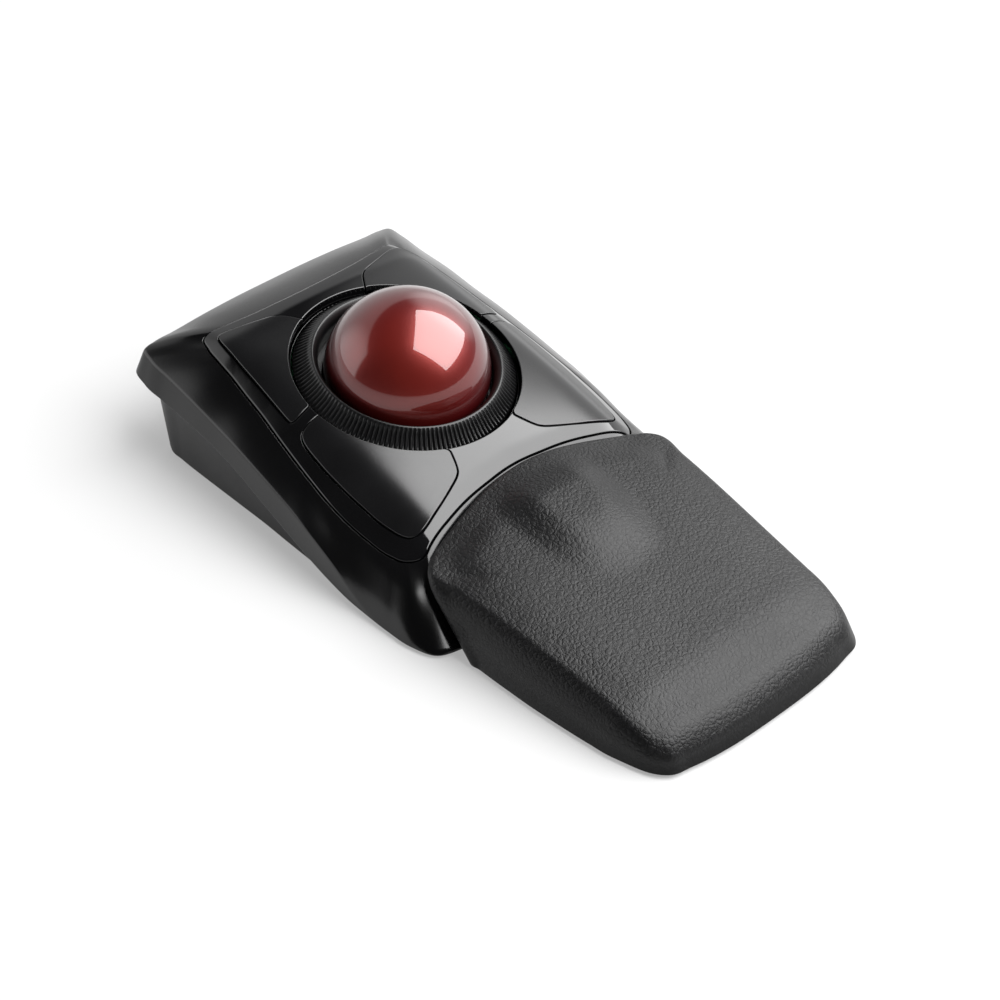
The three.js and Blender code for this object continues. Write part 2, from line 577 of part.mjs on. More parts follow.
for (const side of [-1, 1]) {
  const x0 = side * TAB.x - TAB.w / 2;
  const x1 = side * TAB.x + TAB.w / 2;
  restTray = restTray.add(box(x0, x1, TAB.y0, TAB.y0 + 3, BOTTOM_Z + 1, TAB.z1));
  restTray = restTray.add(box(x0, x1, TAB.y0, TAB.y1, TAB.z0, TAB.z1));
  restTray = restTray.add(box(x0, x1, TAB.y1 - 1.6, TAB.y1, TAB.z0, TAB.z1 + 0.5));
  cushion = cushion.subtract(box(x0 - 0.4, x1 + 0.4, TAB.y0 - 0.4, -70, 0, TAB.z1 + 0.5));
  for (const [x, y] of REST_FEET) {
    restTray = restTray.subtract(post(side * x, y, FOOT_R + 0.3, 0, BOTTOM_Z + 0.5, 20));
  }
}
add('rest_cushion', cushion, 0x3b3d40, 0.8);
add('rest_tray', restTray, 0x26272a, 0.6);

// ---- feet and screws ----------------------------------------------------------------------
for (const [label, side] of [['left', -1], ['right', 1]]) {
  RUBBER_FEET.forEach(([x, y], i) => {
    add(`foot_${i ? 'front' : 'rear'}_${label}`, post(side * x, y, FOOT_R, 0, FOOT_T, 20), 0x111111, 0.9);
  });
  REST_FEET.forEach(([x, y], i) => {
    add(`rest_foot_${i ? 'front' : 'rear'}_${label}`, post(side * x, y, FOOT_R, 0, FOOT_T, 20), 0x111111, 0.9);
  });
  HOUSING_SCREWS.forEach(([x, y], i) => {
    const head = post(side * x, y, 2.1, BOTTOM_Z + 0.1, BOTTOM_Z + 1.4, 16);
    const shank = post(side * x, y, 1, BOTTOM_Z + 1, 8.6, 12);
    const slots = box(side * x - 1.3, side * x + 1.3, y - 0.3, y + 0.3, 0, BOTTOM_Z + 0.8)
      .add(box(side * x - 0.3, side * x + 0.3, y - 1.3, y + 1.3, 0, BOTTOM_Z + 0.8));
    add(`screw_${i ? 'front' : 'rear'}_${label}`, head.add(shank).subtract(slots), 0xb8bbc0, 0.3, 1);
  });
}

export default group;
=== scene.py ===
# Looks of a cordless trackball mouse: shells, keys, ribbed ring, ball and leatherette wrist rest
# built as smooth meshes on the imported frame. Plan numbers are in millimetres from the ball's
# centre line; place() turns them into metres in the row frame.
import json
import math

import bpy
import numpy as np
from mathutils import Matrix, Vector
from mathutils.geometry import delaunay_2d_cdt


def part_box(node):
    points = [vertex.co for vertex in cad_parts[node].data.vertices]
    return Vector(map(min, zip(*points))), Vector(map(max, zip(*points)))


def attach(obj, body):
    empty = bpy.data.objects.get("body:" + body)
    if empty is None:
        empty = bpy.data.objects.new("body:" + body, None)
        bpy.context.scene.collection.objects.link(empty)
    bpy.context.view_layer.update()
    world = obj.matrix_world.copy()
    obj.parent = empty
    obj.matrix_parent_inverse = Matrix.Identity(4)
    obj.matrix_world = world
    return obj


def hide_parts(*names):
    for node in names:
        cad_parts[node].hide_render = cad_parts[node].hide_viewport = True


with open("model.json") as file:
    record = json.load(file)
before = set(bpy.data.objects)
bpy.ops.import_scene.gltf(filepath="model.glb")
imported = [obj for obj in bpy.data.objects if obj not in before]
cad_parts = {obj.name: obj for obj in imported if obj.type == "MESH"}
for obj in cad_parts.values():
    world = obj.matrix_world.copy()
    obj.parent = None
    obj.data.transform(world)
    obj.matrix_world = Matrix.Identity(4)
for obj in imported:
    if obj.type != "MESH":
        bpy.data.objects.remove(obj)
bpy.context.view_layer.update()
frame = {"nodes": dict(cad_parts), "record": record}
MM = 0.001
ball_lo, ball_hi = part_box("ball")
BALL = (ball_lo + ball_hi) / 2
BALL_R = (ball_hi.z - ball_lo.z) / 2 / MM
BALL_Z = BALL.z / MM
TILT = math.radians(9.6)

# ---- shape numbers ------------------------------------------------------------------------
DECK_Z, DECK_SLOPE, BOW_X, BOW_Y = 39.9, 0.169, 0.001, 0.0008
FOLD_X, FOLD_SLOPE, FOLD_SOFT = 41.0, 0.58, 1.8
BEVEL_SIDE, BEVEL_FRONT, BEVEL_SLOPE = 5.4, 4.4, 0.26
RING_Y, RING_HOLE_R = 0.8, 38.2
RIBS = 142
BOTTOM_Z = 1.0

# left half, from the rear centre round to the front centre
PANEL_EDGE = [
    (0, 48.3), (-10.9, 48.6), (-22.8, 49.6), (-32.4, 51.4), (-38.3, 52.8), (-41.6, 53.1),
    (-43.6, 48.7), (-45, 41.6), (-46, 33.6), (-47.2, 25.7), (-48.5, 15.8), (-50.1, 5.9),
    (-51.5, -4), (-52.7, -13.9), (-53.5, -22.8), (-53.7, -31.8), (-53.3, -39.9), (-52.1, -49),
    (-49.8, -54.8), (-45.9, -57.8), (-42.4, -56.9), (-33.3, -54.5), (-23.2, -52.1),
    (-12, -50.6), (0, -49.7)]
CREASE = [
    (0, 70.3, 36.1), (-15, 70.2, 36.1), (-30, 69.7, 35.9), (-43.3, 69.5, 35),
    (-50.2, 69.5, 34.7), (-54.6, 68.9, 34.1), (-56, 64, 33), (-56.5, 54.7, 31.7),
    (-57.6, 41.1, 30.2), (-58.3, 28.6, 28.1), (-59.3, 15.9, 26.1), (-60.2, 3.2, 23.4),
    (-61, -9.5, 20.4), (-62.1, -22.2, 16.8), (-62.7, -33.2, 12.3), (-62.9, -42.6, 7.1),
    (-62.9, -50.6, 3.6), (-62.6, -60, 2.4), (-61.8, -70, 2.4), (-58.4, -78, 2.4),
    (-51.3, -80.9, 2.4), (-38, -80.6, 2.4), (-26, -80.6, 2.4), (-13, -80.6, 2.4),
    (0, -80.6, 2.4)]
SKIRT = [
    (0, 71.5, 28.7), (-15, 71.4, 28.6), (-31, 71.2, 28.4), (-45.6, 71.2, 27.5),
    (-53.4, 71.4, 27), (-57.9, 69.8, 25.8), (-59.4, 63.4, 24.6), (-59.5, 54.6, 23.5),
    (-59.8, 40.6, 22.2), (-60.2, 27.8, 20.6), (-60.7, 15.3, 17.9), (-61.4, 2.9, 14.2),
    (-62, -9.4, 10.5), (-62.5, -21.5, 6.8), (-62.8, -32.3, 3.9), (-62.9, -42, 1.9),
    (-63, -50.4, 1.4), (-62.9, -60, 1), (-62.2, -70.3, 1), (-58.8, -78.6, 1),
    (-51.3, -81.3, 1), (-38, -81, 1), (-26, -81, 1), (-13, -81, 1), (0, -81, 1)]
WALL_TOP = [
    (0, 63.8), (-15, 63.8), (-30, 63.7), (-42.7, 63.6), (-51, 63.4), (-55.6, 61.8),
    (-57.4, 57.6), (-57.7, 49), (-57.8, 38), (-58, 28), (-58.2, 16), (-58.4, 4), (-58.8, -8),
    (-59.2, -20), (-59.5, -31), (-59.7, -41), (-59.6, -50), (-59, -59), (-57.8, -68),
    (-54.4, -74.6), (-49, -76.5), (-38, -76.5), (-26, -76.5), (-13, -76.5), (0, -76.5)]
WALL_FOOT = [
    (0, 59.6), (-15, 59.5), (-30, 59.3), (-42.4, 59.1), (-50, 58.6), (-54.2, 57.3),
    (-56.8, 53.6), (-57.5, 47), (-57.8, 38), (-57.9, 28), (-58, 16), (-58.1, 4), (-58.6, -8),
    (-59, -20), (-59.4, -31)] + WALL_TOP[15:]
FRONT_KEY = [
    (-38.2, -0.1), (-44.9, -0), (-46.7, -1.4), (-47.7, -5.1), (-48.6, -15), (-48.9, -26),
    (-48.5, -40.3), (-47, -49.2), (-44.8, -52.6), (-40.7, -52.8), (-29, -48.6), (-19, -44.2),
    (-17, -41.6), (-14.4, -35.6)]
REAR_KEY = [
    (-13.7, 35.6), (-18.8, 42.9), (-27.5, 45.5), (-37.3, 48.5), (-39.6, 48.4), (-40.7, 45.9),
    (-42.5, 33.5), (-44.2, 18.6), (-45.6, 6.3), (-45.1, 4.9), (-43.6, 4.5), (-37.9, 5)]
REST_TOP = [
    (0, -51.4, 29.9), (-12, -52.3, 29.3), (-24, -54.5, 27.7), (-34, -57, 25.8),
    (-43, -59.6, 24.2), (-49.6, -61.6, 23.3), (-52.9, -65.2, 23), (-52.4, -75, 23.2),
    (-51.3, -85, 22.7), (-50.3, -95, 21.6), (-49.2, -105, 20.1), (-48.2, -115, 18.5),
    (-47.3, -125, 16.9), (-46.4, -135, 15.3), (-45.3, -146.4, 13), (-43.2, -152.4, 11.8),
    (-39.2, -155.8, 11.3), (-33, -156.6, 11.3), (0, -157.8, 11.3)]
REST_FOOT = [
    (0, -82.6), (-13, -82.6), (-26, -82.7), (-36, -82.8), (-45, -83), (-50.6, -83.6),
    (-53.3, -87), (-53.4, -92), (-53.4, -98), (-53.3, -104), (-53.1, -112), (-52.7, -119),
    (-52.1, -127), (-51.2, -136), (-49.6, -146.4), (-46.4, -156.6), (-42.2, -161.5),
    (-35.6, -163.2), (0, -166)]
HUMP = {"y": -70.0, "height": 3.8, "rx": 15.5, "ry": 27.0}


# ---- helpers: curves ----------------------------------------------------------------------
def mirror_loop(half):
    half = [tuple(p) for p in half]
    return np.array(half + [(-p[0], *p[1:]) for p in half[-2:0:-1]], float)


def through(points, per, closed=True, measure=None):
    """Smooth curve through the points, `per` samples to each span."""
    p = np.asarray(points, float)
    m = p if measure is None else np.asarray(measure, float)
    n = len(p)
    nxt = np.roll(p, -1, 0)
    h = np.linalg.norm(np.roll(m, -1, 0) - m, axis=1)
    if not closed:
        h[-1] = h[-2]
        nxt[-1] = 2 * p[-1] - p[-2]
    h = np.maximum(h, 1e-6)[:, None]
    d = (nxt - p) / h
    dp, hp = np.roll(d, 1, 0), np.roll(h, 1, 0)
    if not closed:
        dp[0] = d[0]
        hp[0] = h[0]
    tangent = (d * hp + dp * h) / (h + hp)
    out = []
    spans = n if closed else n - 1
    for i in range(spans):
        j = (i + 1) % n
        s = (np.arange(per) / per)[:, None]
        a = 2 * s**3 - 3 * s**2 + 1
        b = s**3 - 2 * s**2 + s
        c = -2 * s**3 + 3 * s**2
        e = s**3 - s**2
        out.append(a * p[i] + b * h[i] * tangent[i] + c * p[j] + e * h[i] * tangent[j])
    if not closed:
        out.append(p[-1:])
    return np.concatenate(out)


def round_rows(rows, radii, steps=6):
    """rows: corner points of a cross-section, each an array over the stations. Rounds each
    inner corner whose radius isn't 0 and returns the stack of rows."""
    out = [rows[0]]
    for i in range(1, len(rows) - 1):
        r = radii[i]
        if np.max(r) <= 0:
            out.append(rows[i])
            continue
        q = rows[i]
        r = np.broadcast_to(np.asarray(r, float), (len(q),))[:, None]
        ends = []
        for other in (rows[i - 1], rows[i + 1]):
            v = other - q
            length = np.linalg.norm(v, axis=1, keepdims=True)
            ends.append(q + v / length * np.minimum(r, 0.47 * length))
        for k in range(steps + 1):
            s = k / steps
            out.append((1 - s) ** 2 * ends[0] + 2 * s * (1 - s) * q + s * s * ends[1])
    out.append(rows[-1])
    return np.stack(out)


def fillet_polygon(points, radius, steps=5):
    """Closed plan polygon with each corner rounded; radius may be one per corner."""
    p = np.asarray(points, float)
    n = len(p)
    radii = np.broadcast_to(np.asarray(radius, float), (n,))
    out = []
    for i in range(n):
        q = p[i]
        ends = []
        for other in (p[i - 1], p[(i + 1) % n]):
            v = other - q
            length = np.linalg.norm(v)
            ends.append(q + v / length * min(radii[i], 0.48 * length))
        for k in range(steps + 1):
            s = k / steps
            out.append((1 - s) ** 2 * ends[0] + 2 * s * (1 - s) * q + s * s * ends[1])
    return np.array(out)


def resample(loop, step):
    p = np.asarray(loop, float)
    q = np.vstack([p, p[:1]])
    seg = np.linalg.norm(np.diff(q, axis=0), axis=1)
    at = np.concatenate([[0], np.cumsum(seg)])
    n = max(8, int(at[-1] / step))
    t = np.linspace(0, at[-1], n, endpoint=False)
    return np.stack([np.interp(t, at, q[:, k]) for k in range(p.shape[1])], 1)


def area_of(loop):
    x, y = loop[:, 0], loop[:, 1]
    return 0.5 * np.sum(x * np.roll(y, -1) - np.roll(x, -1) * y)


def inset(loop, d):
    """Moves a closed plan loop inwards by d."""
    t = np.roll(loop, -1, 0) - np.roll(loop, 1, 0)
    t = t[:, :2] / np.maximum(np.linalg.norm(t[:, :2], axis=1, keepdims=True), 1e-9)
    side = np.stack([-t[:, 1], t[:, 0]], 1) * np.sign(area_of(loop))
    out = loop.copy()
    out[:, :2] += side * np.reshape(d, (-1, 1))
    return out


def inside(points, loop):
    x, y = points[:, 0], points[:, 1]
    a = loop[:, :2]
    b = np.roll(a, -1, 0)
    hit = np.zeros(len(points), bool)
    for (x0, y0), (x1, y1) in zip(a, b):
        if y0 == y1:
            continue
        cross = (y0 > y) != (y1 > y)
        hit ^= cross & (x < (x1 - x0) * (y - y0) / (y1 - y0) + x0)
    return hit


# ---- helpers: meshes ----------------------------------------------------------------------
def place(points):
    p = np.asarray(points, float) * MM
    p[:, 1] += BALL.y
    p[:, 0] += BALL.x
    return p


def make(name, verts, faces, body, mat, replaces=(), weighted=True):
    mesh = bpy.data.meshes.new(name)
    mesh.from_pydata([tuple(v) for v in place(verts)], [], faces)
    mesh.validate()
    mesh.update()
    obj = bpy.data.objects.new(name, mesh)
    bpy.context.scene.collection.objects.link(obj)
    mesh.materials.append(mat)
    mesh.shade_smooth()
    if weighted:
        mod = obj.modifiers.new("WeightedNormal", "WEIGHTED_NORMAL")
        mod.keep_sharp = False
        mod.weight = 60
    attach(obj, body)
    if replaces:
        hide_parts(*replaces)
    return obj


def grid_faces(rows, cols, wrap_rows=False, wrap_cols=True, start=0, flip=False):
    faces = []
    for r in range(rows if wrap_rows else rows - 1):
        r2 = (r + 1) % rows
        for c in range(cols if wrap_cols else cols - 1):
            c2 = (c + 1) % cols
            f = (start + r * cols + c, start + r * cols + c2, start + r2 * cols + c2,
                 start + r2 * cols + c)
            faces.append(f[::-1] if flip else f)
    return faces


def rim_of(outline, holes):
    """Segments that bound the outline minus the union of its holes, as start and end points."""
    starts, ends = [], []
    for k, loop in enumerate([outline, *holes]):
        p = loop[:, :2]
        q = np.roll(p, -1, 0)
        mid = (p + q) / 2
        keep = np.ones(len(p), bool)
        for j, other in enumerate(holes):
            if j != k - 1:
                keep &= ~inside(mid, other)
        if k:
            keep &= inside(mid, outline)
        starts.append(p[keep])
        ends.append(q[keep])
    return np.vstack(starts), np.vstack(ends)


def rim_distance(points, rim):
    best = np.full(len(points), 1e9)
    for a, b in zip(*rim):
        ab = b - a
        ap = points[:, :2] - a
        t = np.clip(ap @ ab / max(ab @ ab, 1e-12), 0, 1)
        best = np.minimum(best, np.hypot(*(ap - t[:, None] * ab).T))
    return best


def plate(outline, holes, height, thickness, edge, grid, down=False,
          spread=(0.0, 0.1, 0.25, 0.45, 0.7, 1.0, 1.4)):
    """Closed sheet over a plan outline with holes. height(x, y) gives its top, or its underside
    with `down`; the rims are rounded by `edge`. Returns verts, faces."""
    loops = []
    for loop, sign in [(outline, 1)] + [(h, -1) for h in holes]:
        for d in spread:
            loops.append(inset(loop, sign * d * edge))
    rim = rim_of(outline, holes)
    pts, edges = [], []
    for loop in loops:
        base = len(pts)
        pts.extend([tuple(p[:2]) for p in loop])
        n = len(loop)
        edges.extend([(base + i, base + (i + 1) % n) for i in range(n)])
    lo, hi = outline.min(0), outline.max(0)
    gx, gy = np.meshgrid(np.arange(lo[0], hi[0], grid), np.arange(lo[1], hi[1], grid))
    g = np.stack([gx.ravel(), gy.ravel()], 1)
    g[:, 0] += np.where((np.round((g[:, 1] - lo[1]) / grid).astype(int) % 2) == 1, grid / 2, 0)
    keep = inside(g, outline)
    for h in holes:
        keep &= ~inside(g, h)
    g = g[keep]
    g = g[rim_distance(g, rim) > edge * 1.9]
    pts.extend([tuple(p) for p in g])
    out_pts, _, out_faces, *_ = delaunay_2d_cdt([Vector(p) for p in pts], edges, [], 0, 1e-5)
    v = np.array([tuple(p) for p in out_pts])
    tri = np.array([f for f in out_faces if len(f) == 3])
    centre = v[tri].mean(1)
    ok = inside(centre, outline)
    for h in holes:
        ok &= ~inside(centre, h)
    tri = tri[ok]
    a, b, c = v[tri[:, 0]], v[tri[:, 1]], v[tri[:, 2]]
    turn = (b[:, 0] - a[:, 0]) * (c[:, 1] - a[:, 1]) - (b[:, 1] - a[:, 1]) * (c[:, 0] - a[:, 0])
    tri[turn < 0] = tri[turn < 0][:, ::-1]
    used = np.unique(tri)
    new = np.full(len(v), -1)
    new[used] = np.arange(len(used))
    v, tri = v[used], new[tri]
    k = np.clip(1 - rim_distance(v, rim) / edge, 0, 1)
    drop = edge * (1 - np.sqrt(1 - k**2))
    way = -1 if down else 1
    z = height(v[:, 0], v[:, 1])
    n = len(v)
    verts = np.vstack([np.column_stack([v, z - way * drop]),
                       np.column_stack([v, z - way * thickness])])
    seen = {}
    for f in tri:
        for i in range(3):
            e = (int(f[i]), int(f[(i + 1) % 3]))
            seen.setdefault((min(e), max(e)), []).append(e)
    faces = [tuple(int(i) for i in f) for f in tri]
    faces += [(f[2] + n, f[1] + n, f[0] + n) for f in faces]
    faces += [(e[0][1], e[0][0], e[0][0] + n, e[0][1] + n) for e in seen.values() if len(e) == 1]
    if down:
        faces = [f[::-1] for f in faces]
    return verts, faces


def smooth01(t):
    t = np.clip(t, 0, 1)
    return t * t * (3 - 2 * t)


def softplus(u, w):
    return w * np.logaddexp(0, u / w)


# ---- surfaces -----------------------------------------------------------------------------
def deck(x, y):
    a = np.abs(x)
    bend = BOW_X * np.minimum(a, FOLD_X) ** 2
    bend = bend + (2 * BOW_X * FOLD_X) * np.maximum(a - FOLD_X, 0)
    bend = bend + FOLD_SLOPE * softplus(a - FOLD_X, FOLD_SOFT)
    return DECK_Z + DECK_SLOPE * y - BOW_Y * y * y - bend - 0.012 * np.maximum(y - 38, 0) ** 2


panel_loop = resample(through(mirror_loop(PANEL_EDGE), 12), 0.8)
left_edge = np.array([p for p in PANEL_EDGE if -58 < p[1] < 50 and p[0] < -44])
front_edge = np.array([p for p in PANEL_EDGE[19:]])


def panel_top(x, y):
    side_x = np.interp(-y, -left_edge[:, 1], -left_edge[:, 0])
    front_y = np.interp(-np.abs(x), front_edge[:, 0], front_edge[:, 1])
    side = BEVEL_SIDE - (side_x - np.abs(x))
    front = BEVEL_FRONT - (y - front_y) * 0.97
    return deck(x, y) - BEVEL_SLOPE * np.maximum(0, np.maximum(side, front))


def ring_point(r, angle, w):
    """Points in the ring's tilted frame, as plan millimetres and height."""
    x, y = r * np.cos(angle), r * np.sin(angle)
    c, s = math.cos(TILT), math.sin(TILT)
    return np.stack([x, y * c - w * s + RING_Y, y * s + w * c + BALL_Z], -1)


# ---- materials ----------------------------------------------------------------------------
def material(name, color, rough, **sockets):
    mat = bpy.data.materials.new(name)
    mat.use_nodes = True
    nt = mat.node_tree
    bsdf = nt.nodes["Principled BSDF"]
    bsdf.inputs["Base Color"].default_value = (*color, 1)
    bsdf.inputs["Roughness"].default_value = rough
    for key, value in sockets.items():
        bsdf.inputs[key.replace("_", " ")].default_value = value
    return mat, nt, bsdf


def node(nt, kind, **values):
    n = nt.nodes.new(kind)
    for key, value in values.items():
        if key in n.inputs:
            n.inputs[key].default_value = value
        else:
            setattr(n, key, value)
    return n


def coords(nt, scale=1.0):
    tc = node(nt, "ShaderNodeTexCoord")
    mp = node(nt, "ShaderNodeMapping")
    mp.inputs["Scale"].default_value = (scale, scale, scale) if np.isscalar(scale) else scale
    nt.links.new(tc.outputs["Object"], mp.inputs["Vector"])
    return mp.outputs["Vector"]


def noise(nt, vec, scale, detail=3.0, rough=0.5):
    n = node(nt, "ShaderNodeTexNoise")
    n.inputs["Scale"].default_value = scale
    n.inputs["Detail"].default_value = detail
    n.inputs["Roughness"].default_value = rough
    nt.links.new(vec, n.inputs["Vector"])
    return n.outputs["Fac"]


def ramp(nt, fac, stops):
    r = node(nt, "ShaderNodeValToRGB")
    els = r.color_ramp.elements
    while len(els) < len(stops):
        els.new(0.5)
    for e, (pos, col) in zip(els, stops):
        e.position = pos
        e.color = (*col, 1) if len(col) == 3 else col
    nt.links.new(fac, r.inputs["Fac"])
    return r.outputs["Color"]


def remap(nt, fac, lo, hi, a=0.0, b=1.0):
    m = node(nt, "ShaderNodeMapRange")
    for key, v in (("From Min", a), ("From Max", b), ("To Min", lo), ("To Max", hi)):
        m.inputs[key].default_value = v
    nt.links.new(fac, m.inputs["Value"])
    return m.outputs["Result"]


def bump(nt, bsdf, height, strength, distance, below=None):
    b = node(nt, "ShaderNodeBump")
    b.inputs["Strength"].default_value = strength
    b.inputs["Distance"].default_value = distance
    nt.links.new(height, b.inputs["Height"])
    if below is not None:
        nt.links.new(below, b.inputs["Normal"])
    nt.links.new(b.outputs["Normal"], bsdf.inputs["Normal"])
    return b.outputs["Normal"]


def plastic(name, color, rough, grain=0.06, grain_mm=0.35, vary=0.05, spec=0.5, coat=0.0,
            coat_rough=0.05, tint=0.15):
    """Moulded plastic: fine spark-eroded grain, faint handling marks in the gloss."""
    mat, nt, bsdf = material(name, color, rough)
    bsdf.inputs["Specular IOR Level"].default_value = spec
    if coat:
        bsdf.inputs["Coat Weight"].default_value = coat
        bsdf.inputs["Coat Roughness"].default_value = coat_rough
    vec = coords(nt)
    cloud = noise(nt, vec, 45, 4)
    fine = noise(nt, vec, 1 / (grain_mm * MM) / 2, 2)
    dark = tuple(c * (1 - tint) for c in color)
    light = tuple(min(1, c * (1 + tint)) for c in color)
    nt.links.new(ramp(nt, cloud, [(0.3, dark), (0.7, light)]), bsdf.inputs["Base Color"])
    nt.links.new(remap(nt, cloud, rough - vary, rough + vary, 0.3, 0.7), bsdf.inputs["Roughness"])
    if grain:
        bump(nt, bsdf, fine, grain, grain_mm * MM * 0.4)
    return mat


cover_mat = plastic("CoverPlastic", (0.0012, 0.0012, 0.0014), 0.18, grain=0.05, vary=0.02, spec=0.45)
housing_mat = plastic("HousingPlastic", (0.006, 0.006, 0.0065), 0.48, grain=0.1, grain_mm=0.5)
deck_mat = plastic("DeckGloss", (0.0022, 0.0022, 0.0025), 0.06, grain=0.0, vary=0.012, tint=0.3)
key_mat = plastic("KeyGloss", (0.0035, 0.0035, 0.0038), 0.19, grain=0.0, vary=0.02, tint=0.2)
ring_mat = plastic("RingPlastic", (0.0025, 0.0025, 0.0027), 0.3, grain=0.04, grain_mm=0.3, spec=0.35)

# ball: pearl pigment deep under a clear coat
ball_mat, nt, bsdf = material("BallPearl", (0.2, 0.012, 0.014), 0.32)
vec = coords(nt)
flake = node(nt, "ShaderNodeTexVoronoi")
flake.inputs["Scale"].default_value = 5200
nt.links.new(vec, flake.inputs["Vector"])
cloud = noise(nt, vec, 60, 3)
facing = node(nt, "ShaderNodeLayerWeight")
facing.inputs["Blend"].default_value = 0.45
deep = ramp(nt, facing.outputs["Facing"], [(0.0, (0.17, 0.010, 0.006)), (0.45, (0.10, 0.005, 0.006)),
                                          (1.0, (0.03, 0.0015, 0.003))])
mixed = node(nt, "ShaderNodeMix", data_type="RGBA", blend_type="MULTIPLY")
mixed.inputs["Factor"].default_value = 0.6
nt.links.new(deep, mixed.inputs["A"])
nt.links.new(ramp(nt, cloud, [(0.35, (0.75, 0.7, 0.7)), (0.65, (1.0, 1.0, 1.0))]), mixed.inputs["B"])
nt.links.new(mixed.outputs["Result"], bsdf.inputs["Base Color"])
bsdf.inputs["Metallic"].default_value = 0.55
bsdf.inputs["Coat Weight"].default_value = 0.92
bsdf.inputs["Coat Roughness"].default_value = 0.015
bsdf.inputs["Coat IOR"].default_value = 1.55
bump(nt, bsdf, flake.outputs["Distance"], 0.12, 0.00004)

# leatherette: pebbles in two sizes, creases between them; painted shade darkens the base colour in the
# creases
leather_mat, nt, bsdf = material("Leatherette", (0.035, 0.035, 0.038), 0.5)
bsdf.inputs["Specular IOR Level"].default_value = 0.24
vec = coords(nt)
warp = node(nt, "ShaderNodeTexNoise")
warp.inputs["Scale"].default_value = 260
nt.links.new(vec, warp.inputs["Vector"])
shift = node(nt, "ShaderNodeVectorMath", operation="SCALE")
shift.inputs["Scale"].default_value = 0.0012
nt.links.new(warp.outputs["Color"], shift.inputs[0])
moved = node(nt, "ShaderNodeVectorMath", operation="ADD")
nt.links.new(vec, moved.inputs[0])
nt.links.new(shift.outputs["Vector"], moved.inputs[1])
pebble = node(nt, "ShaderNodeTexVoronoi", feature="DISTANCE_TO_EDGE")
pebble.inputs["Scale"].default_value = 560
nt.links.new(moved.outputs["Vector"], pebble.inputs["Vector"])
small = node(nt, "ShaderNodeTexVoronoi", feature="DISTANCE_TO_EDGE")
small.inputs["Scale"].default_value = 1500
nt.links.new(moved.outputs["Vector"], small.inputs["Vector"])
pebble_h = remap(nt, pebble.outputs["Distance"], 0, 1, 0.0, 0.28)
small_h = remap(nt, small.outputs["Distance"], 0, 0.35, 0.0, 0.25)
total = node(nt, "ShaderNodeMath", operation="ADD")
nt.links.new(pebble_h, total.inputs[0])
nt.links.new(small_h, total.inputs[1])
broad = noise(nt, vec, 38, 3)
soft = node(nt, "ShaderNodeBump")
soft.inputs["Strength"].default_value = 0.25
soft.inputs["Distance"].default_value = 0.0012
nt.links.new(broad, soft.inputs["Height"])
bump(nt, bsdf, total.outputs["Value"], 0.42, 0.00019, below=soft.outputs["Normal"])
# painted shade: base colour follows the pebble height, darker down in the creases between pebbles
nt.links.new(ramp(nt, pebble_h, [(0.0, (0.0016, 0.0016, 0.0017)), (0.5, (0.0034, 0.0034, 0.0037)),
                                (1.0, (0.0042, 0.0042, 0.0045))]), bsdf.inputs["Base Color"])
nt.links.new(remap(nt, broad, 0.36, 0.43, 0.3, 0.7), bsdf.inputs["Roughness"])

# ---- top cover ----------------------------------------------------------------------------
PER = 9
stations = np.hstack([mirror_loop(PANEL_EDGE), mirror_loop(CREASE), mirror_loop(SKIRT),
                      mirror_loop(WALL_TOP), mirror_loop(WALL_FOOT)])
around = through(stations, PER, measure=stations[:, 2:4])
p_edge, crease, skirt = around[:, 0:2], around[:, 2:5], around[:, 5:8]
wall_top, wall_foot = around[:, 8:10], around[:, 10:12]
count = len(around)
half_index = np.minimum(np.arange(count), count - np.arange(count)) / PER
toe = np.exp(-((half_index - 17.8) / 1.4) ** 2)
rear = 1 / (1 + np.exp((half_index - 4.5) * 2))

hole = inset(np.column_stack([p_edge, np.zeros(count)]), -0.45)
lip_z = panel_top(p_edge[:, 0], p_edge[:, 1]) - 0.35
lip = np.column_stack([hole[:, :2], lip_z])
full = (smooth01((-crease[:, 1] - 18) / 24) * smooth01((np.abs(crease[:, 0]) - 52) / 6)
        * smooth01((crease[:, 1] + 79) / 10))[:, None] * 0.3
half = (lip + crease) / 2
half[:, 2] += 2 * (0.4 + 0.4 * rear + 0.8 * toe)
control = half * (1 - full) + np.column_stack([crease[:, :2], lip[:, 2]]) * full
slope_rows = []
for s in np.linspace(0.12, 0.88, 7):
    slope_rows.append((1 - s) ** 2 * lip + 2 * s * (1 - s) * control + s * s * crease)
inner = inset(np.column_stack([wall_top, skirt[:, 2]]), -0.4)
rows = [lip - (0, 0, 3), lip, *slope_rows, crease, skirt, inner, inner + (0, 0, 1.5)]
radii = [0, 0.5] + [0] * 7 + [0.7 + 1.8 * rear + 0.8 * toe, 0.55, 0.4, 0]
shell = round_rows(rows, radii, 7)
make("TopCover", shell.reshape(-1, 3), grid_faces(len(shell), count), "body", cover_mat,
     ["top_cover"])

# ---- lower housing ------------------------------------------------------------------------
wall_z = np.maximum(skirt[:, 2] + 1.4, 3.8)
foot = np.column_stack([wall_foot, np.full(count, BOTTOM_Z)])
top = np.column_stack([wall_top, wall_z])
bottom_in = inset(foot, 3.2)
rows = [inset(top, 2), top, foot, bottom_in, bottom_in + (0, 0, 2.2)]
shell = round_rows(rows, [0, 0.4, 1.2, 0, 0], 6)


def block(x0, x1, y0, y1, radius=1.2):
    """Plan of a rectangle with rounded corners."""
    return fillet_polygon(np.array([(x0, y0), (x1, y0), (x1, y1), (x0, y1)], float), [radius] * 4, 6)


def circle(x, y, r, n=40):
    a = np.linspace(0, 2 * math.pi, n, endpoint=False)
    return np.stack([x + r * np.cos(a), y + r * np.sin(a)], 1)


def level(z):
    return lambda x, y: np.full(len(x), float(z))


